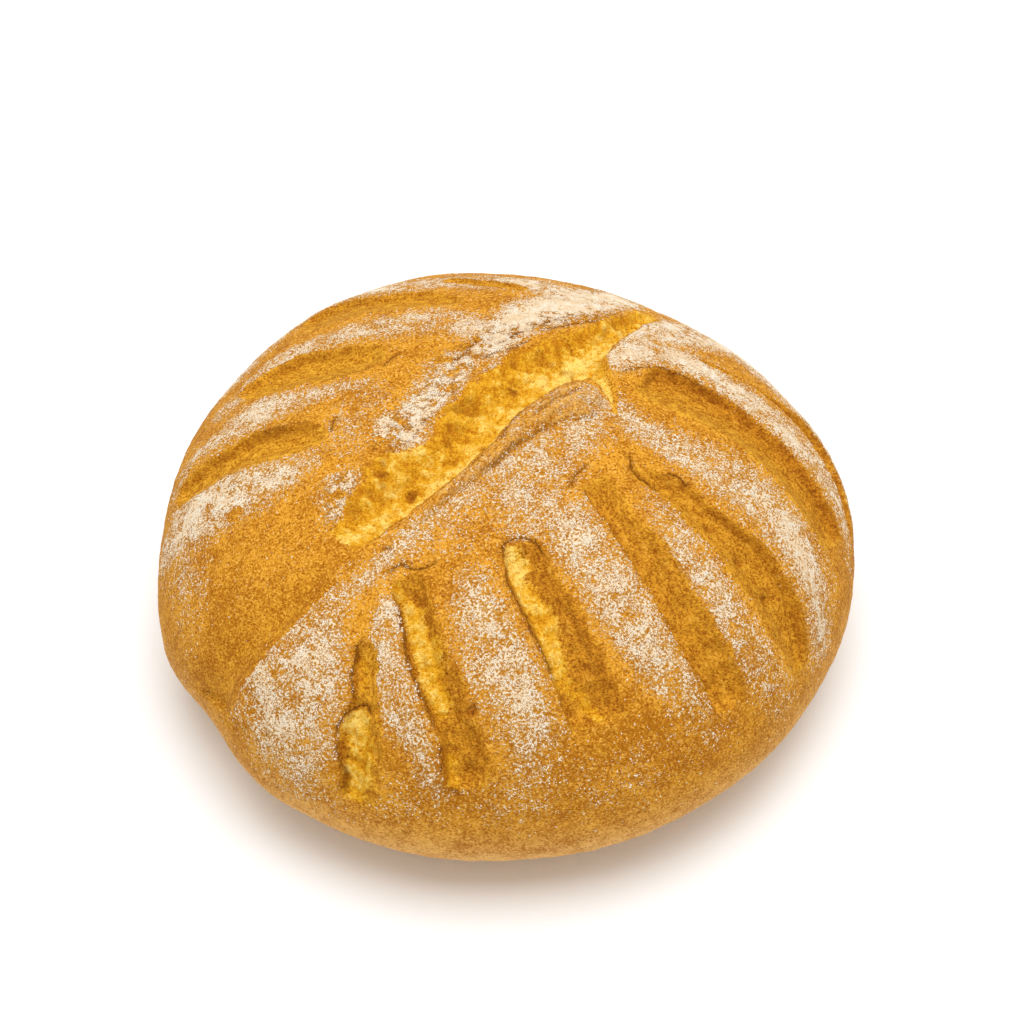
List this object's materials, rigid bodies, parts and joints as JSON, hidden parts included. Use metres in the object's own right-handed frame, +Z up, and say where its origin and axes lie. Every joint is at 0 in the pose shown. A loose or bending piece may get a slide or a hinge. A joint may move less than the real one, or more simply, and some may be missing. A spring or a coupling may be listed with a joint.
{
  "type": "sourdough loaf",
  "caption": "Round sourdough loaf: a low flour-dusted dome with a long tear across its crown, scored cuts down both flanks and a flat base.",
  "frame": {"origin": "on the table, under the middle of the loaf's box", "axes": "+Z up through the crown, -Y towards the front, which holds the closed end of the crown's tear, +X to the right"},
  "size_m": [0.236, 0.2453, 0.0972],
  "materials": {
    "crust": "matte baked crust, golden brown, paler crumb in the openings",
    "flour": "dry white flour dust in fine grains"
  },
  "bodies": {
    "root": {"loaf": "crust"}
  },
  "joints": []
}
